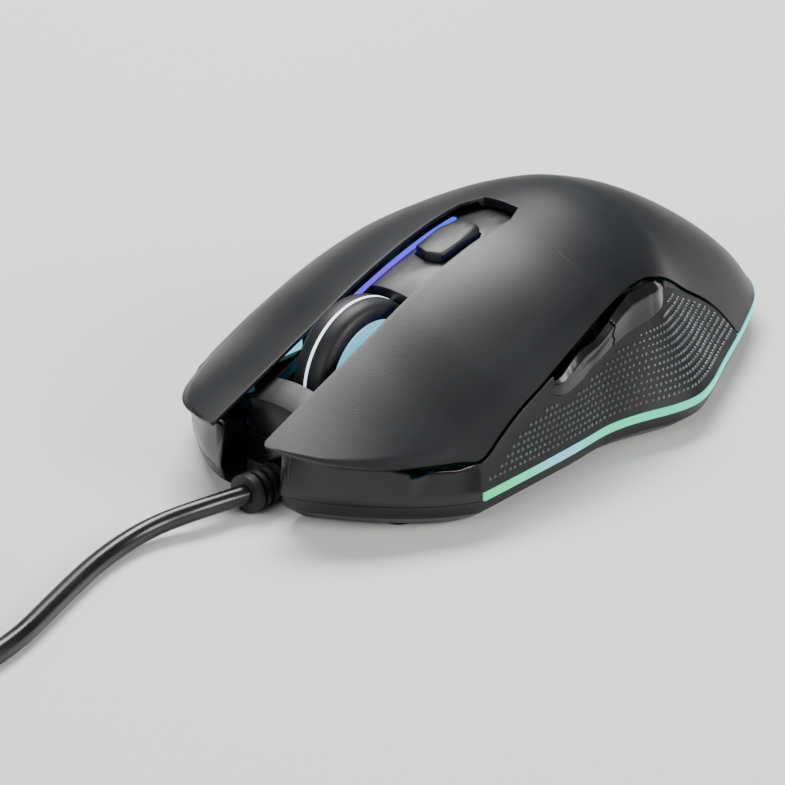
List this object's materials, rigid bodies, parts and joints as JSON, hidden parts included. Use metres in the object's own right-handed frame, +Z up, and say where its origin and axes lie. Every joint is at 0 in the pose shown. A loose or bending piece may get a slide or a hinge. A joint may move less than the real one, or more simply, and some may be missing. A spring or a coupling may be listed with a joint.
{
  "type": "computer mouse",
  "caption": "Wired optical mouse for the right hand with two main keys, lit scroll wheel, resolution button, two thumb buttons, textured side panels and a light strip",
  "frame": {"origin": "middle of the mouse body, on the surface that its glide feet rest on", "axes": "+X to the thumb side, -Y to the cable end, +Z up"},
  "size_m": [0.0826, 0.2311, 0.035],
  "materials": {
    "cover_plastic": "soft-touch matt",
    "gloss_plastic": "gloss",
    "panel_plastic": "textured matt",
    "console_plastic": "satin",
    "strip_diffuser": "lit translucent",
    "guide_diffuser": "lit translucent",
    "hub_diffuser": "lit translucent",
    "ring_diffuser": "lit translucent",
    "wheel_rubber": "matt",
    "boot_rubber": "satin",
    "cable_jacket": "gloss",
    "tie_fabric": "woven",
    "steel": "bright",
    "plug_steel": "nickel plated",
    "plug_insulator": "matt",
    "circuit_board": "solder mask",
    "switch_case": "satin",
    "switch_plunger": "satin",
    "chip_resin": "matt",
    "clear_lens": "clear",
    "white_nylon": "satin",
    "ptfe": "waxy"
  },
  "bodies": {
    "housing": {"top_cover": "cover_plastic", "thumb_side_panel": "panel_plastic", "far_side_panel": "panel_plastic", "nose_bumper": "gloss_plastic", "centre_console": "console_plastic", "channel_light_guides": "guide_diffuser", "base_tray": "console_plastic", "glide_feet": "ptfe", "light_strip": "strip_diffuser", "yoke_stands": "white_nylon", "left_switch": "switch_case", "right_switch": "switch_case", "wheel_click_switch": "switch_case", "dpi_switch": "switch_case", "forward_switch": "switch_case", "back_switch": "switch_case", "main_board": "circuit_board", "thumb_board": "circuit_board", "dpi_board": "circuit_board", "optical_sensor": "chip_resin", "sensor_lens": "clear_lens", "controller_chip": "chip_resin", "lamps": "white_nylon", "cable_socket": "white_nylon", "cover_screws": "steel", "board_screws": "steel", "cable_relief": "boot_rubber", "inner_lead": "cable_jacket", "cable": "cable_jacket", "cable_coil": "cable_jacket", "cable_tail": "cable_jacket", "usb_plug_body": "boot_rubber", "usb_plug_shell": "plug_steel", "usb_plug_tongue": "plug_insulator", "coil_tie": "tie_fabric"},
    "left_key": {"left_key": "cover_plastic", "left_plunger": "switch_plunger"},
    "right_key": {"right_key": "cover_plastic", "right_plunger": "switch_plunger"},
    "wheel_cradle": {"wheel_yoke": "white_nylon", "wheel_encoder": "switch_case", "wheel_click_plunger": "switch_plunger"},
    "scroll_wheel": {"wheel_hub": "hub_diffuser", "wheel_tyre": "wheel_rubber", "wheel_light_ring": "ring_diffuser", "wheel_axle": "steel"},
    "dpi_button": {"dpi_button": "gloss_plastic", "dpi_plunger": "switch_plunger"},
    "forward_button": {"forward_button": "gloss_plastic", "forward_plunger": "switch_plunger"},
    "back_button": {"back_button": "gloss_plastic", "back_plunger": "switch_plunger"}
  },
  "joints": [
    {"name": "left_click", "type": "hinge", "parent": "housing", "child": "left_key", "pos_m": [0, -0.0033, 0.0225], "axis": [1, 0, 0], "range_deg": [0, 0.9], "stiffness_Nm_per_rad": 0.8, "springref_deg": -1.15},
    {"name": "right_click", "type": "hinge", "parent": "housing", "child": "right_key", "pos_m": [0, -0.0033, 0.0225], "axis": [1, 0, 0], "range_deg": [0, 0.9], "stiffness_Nm_per_rad": 0.8, "springref_deg": -1.15},
    {"name": "wheel_click", "type": "hinge", "parent": "housing", "child": "wheel_cradle", "pos_m": [0, -0.0185, 0.012], "axis": [1, 0, 0], "range_deg": [0, 1.3], "stiffness_Nm_per_rad": 0.4, "springref_deg": -1.72},
    {"name": "wheel_scroll", "type": "hinge", "parent": "wheel_cradle", "child": "scroll_wheel", "pos_m": [0, -0.0343, 0.0156], "axis": [1, 0, 0], "continuous": true},
    {"name": "dpi_press", "type": "slide", "parent": "housing", "child": "dpi_button", "axis": [0, 0, -1], "range_m": [0, 0.0004], "stiffness_N_per_m": 400, "springref_m": -0.001},
    {"name": "forward_press", "type": "slide", "parent": "housing", "child": "forward_button", "axis": [-1, 0, 0], "range_m": [0, 0.0005], "stiffness_N_per_m": 400, "springref_m": -0.001},
    {"name": "back_press", "type": "slide", "parent": "housing", "child": "back_button", "axis": [-1, 0, 0], "range_m": [0, 0.0005], "stiffness_N_per_m": 400, "springref_m": -0.001}
  ]
}
